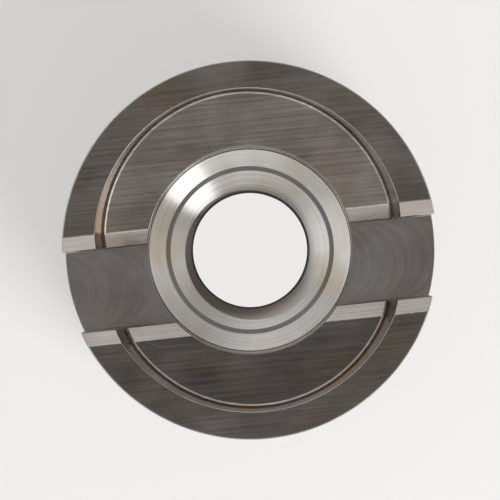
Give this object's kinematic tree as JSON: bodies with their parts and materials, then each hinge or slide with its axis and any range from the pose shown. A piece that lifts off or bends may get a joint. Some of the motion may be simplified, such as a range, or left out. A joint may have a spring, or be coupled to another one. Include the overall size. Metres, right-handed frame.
{
  "type": "knockout punch",
  "caption": "Round steel knockout punch with a sheared cutting rim, dished faces inside it, a slot across them that splits the slug, and a threaded through hole for a draw stud.",
  "frame": {"origin": "centre of the flat back face, on the axis of the threaded hole", "axes": "+Z along the axis, from the back face to the cutting points; X along the slot; the cutting points lie on +Y and -Y"},
  "size_m": [0.0204, 0.0204, 0.019],
  "materials": {
    "tool_steel": "hardened tool steel, turned, milled and ground, lightly oiled"
  },
  "bodies": {
    "root": {"punch": "tool_steel"}
  },
  "joints": []
}
